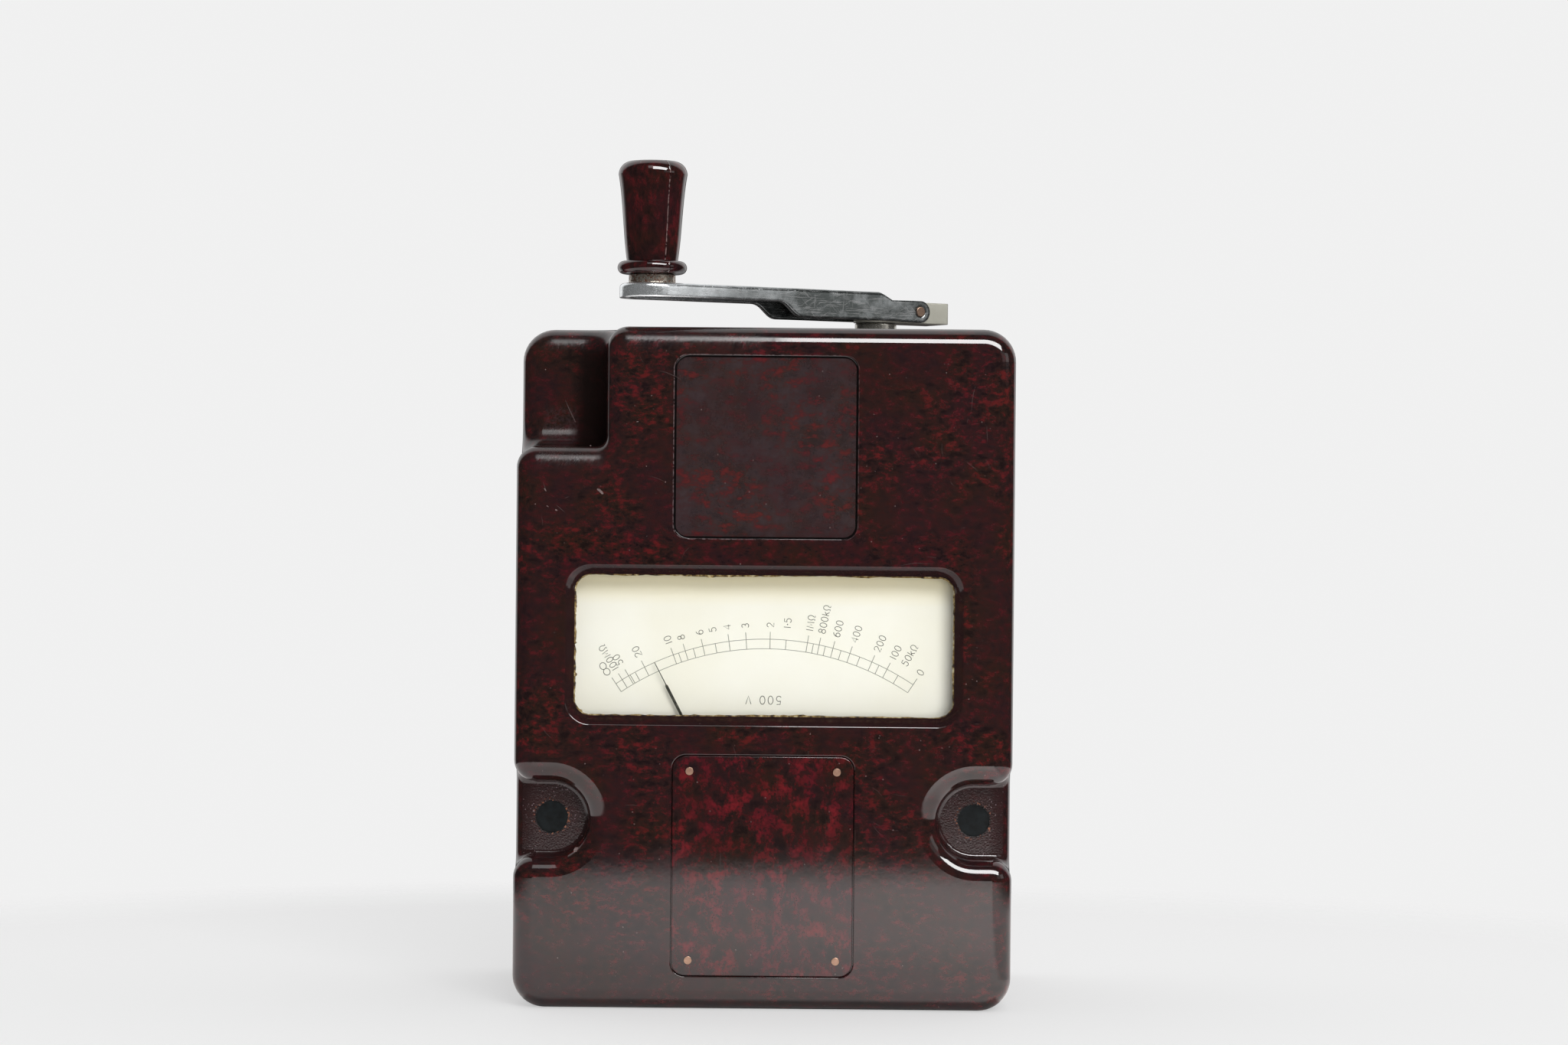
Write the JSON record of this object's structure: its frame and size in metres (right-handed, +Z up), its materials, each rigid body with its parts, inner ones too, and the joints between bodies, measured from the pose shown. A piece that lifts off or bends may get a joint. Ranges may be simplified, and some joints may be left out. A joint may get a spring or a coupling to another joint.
{
  "type": "insulation tester",
  "caption": "Hand-cranked insulation resistance tester: mottled moulded case, arc scale under glass, folding crank with a turning grip, screw terminals in the standing end.",
  "frame": {"origin": "centre of the flat standing end, on the floor the tester stands on", "axes": "+Z up from the standing end to the crank end, -Y out of the scale face, +X to the right of the scale"},
  "size_m": [0.15, 0.1131, 0.2555],
  "materials": {
    "bakelite": "glossy mottled red-brown moulding",
    "plate_bakelite": "glossy mottled crimson plate",
    "glass": "clear flat glass",
    "gasket": "cream fibre",
    "dial": "matt cream enamel",
    "pointer_black": "matt black",
    "nickel": "worn nickel plate",
    "steel": "machined",
    "iron": "dark iron",
    "magnet_steel": "red-brown painted magnet steel",
    "brass": "lacquered",
    "copper_wire": "enamelled copper winding",
    "seal": "poured black compound",
    "rubber": "moulded feet",
    "insulation": "laminated insulating board",
    "carbon": "carbon"
  },
  "bodies": {
    "case": {"front_shell": "bakelite", "rear_cover": "bakelite", "window_gasket": "gasket", "window_glass": "glass", "glass_clips": "brass", "dial_plate": "dial", "glass_and_dial_screws": "brass", "rating_plate": "plate_bakelite", "rating_rivets": "copper_wire", "case_screws": "steel", "screw_seals": "seal", "rear_cover_screws": "steel", "rubber_feet": "rubber", "meter_poles": "iron", "meter_core": "iron", "rear_bridge": "brass", "front_bridge": "brass", "jewel_screws": "brass", "pole_piece_screws": "steel", "bar_magnets": "magnet_steel", "generator_poles": "iron", "generator_bracket": "brass", "armature_bearings": "brass", "brush_holders": "insulation", "carbon_brushes": "carbon", "brush_springs": "brass", "upper_gear_plate": "brass", "lower_gear_plate": "brass", "frame_pillars": "brass", "plate_screws": "steel", "crank_bush": "nickel", "terminal_studs": "brass", "terminal_nuts": "brass", "resistor_board": "insulation", "resistor_coils": "copper_wire", "internal_leads": "rubber"},
    "crank": {"crank_shaft": "steel", "hub_block": "nickel", "main_gear": "brass"},
    "arm": {"crank_arm": "nickel", "hinge_pin": "nickel", "grip_spindle": "nickel", "grip_washer": "nickel"},
    "grip": {"finger_grip": "bakelite"},
    "intermediate": {"intermediate_arbor": "steel", "intermediate_gear": "brass"},
    "armature": {"armature_shaft": "steel", "armature_core": "iron", "armature_winding": "copper_wire", "commutator": "copper_wire", "armature_pinion": "steel"},
    "meter_movement": {"pointer": "pointer_black", "pointer_spindle": "steel", "moving_coils": "copper_wire", "balance_weights": "brass"},
    "right_washer": {"right_clamp_washer": "brass"},
    "right_knob": {"right_terminal_knob": "bakelite"},
    "left_washer": {"left_clamp_washer": "brass"},
    "left_knob": {"left_terminal_knob": "bakelite"}
  },
  "joints": [
    {"name": "crank_turn", "type": "hinge", "parent": "case", "child": "crank", "pos_m": [0.0336, -0.004, 0.2089], "axis": [0, 0, 1], "continuous": true},
    {"name": "intermediate_turn", "type": "hinge", "parent": "case", "child": "intermediate", "pos_m": [0.01286, 0.01767, 0.1775], "axis": [0, 0, 1], "continuous": true},
    {"name": "armature_turn", "type": "hinge", "parent": "case", "child": "armature", "pos_m": [0, -0.004, 0.13], "axis": [0, 0, 1], "continuous": true},
    {"name": "arm_fold", "type": "hinge", "parent": "crank", "child": "arm", "pos_m": [0.04347, 0.0017, 0.2125], "axis": [0.5, -0.866, 0], "range_deg": [-180, 0]},
    {"name": "grip_spin", "type": "hinge", "parent": "arm", "child": "grip", "pos_m": [-0.03499, -0.0436, 0.2211], "axis": [0, 0, 1], "continuous": true},
    {"name": "pointer_swing", "type": "hinge", "parent": "case", "child": "meter_movement", "pos_m": [0.0005, -0.0445, 0.03035], "axis": [0, 1, 0], "range_deg": [-10.2, 59.4]},
    {"name": "right_terminal_slide", "type": "slide", "parent": "case", "child": "right_washer", "axis": [0, 0, -1], "range_m": [0, 0.0032]},
    {"name": "right_terminal_turn", "type": "hinge", "parent": "right_washer", "child": "right_knob", "pos_m": [0.028, 0.025, 0.0173], "axis": [0, 0, -1], "range_deg": [0, 1441]},
    {"name": "left_terminal_slide", "type": "slide", "parent": "case", "child": "left_washer", "axis": [0, 0, -1], "range_m": [0, 0.0032]},
    {"name": "left_terminal_turn", "type": "hinge", "parent": "left_washer", "child": "left_knob", "pos_m": [-0.028, 0.025, 0.0173], "axis": [0, 0, -1], "range_deg": [0, 1441]}
  ],
  "couplings": [
    {"joint": "intermediate_turn", "follows": "crank_turn", "ratio": -4},
    {"joint": "armature_turn", "follows": "crank_turn", "ratio": 12.8},
    {"joint": "right_terminal_turn", "follows": "right_terminal_slide", "rad_per_m": 7854},
    {"joint": "left_terminal_turn", "follows": "left_terminal_slide", "rad_per_m": 7854}
  ]
}
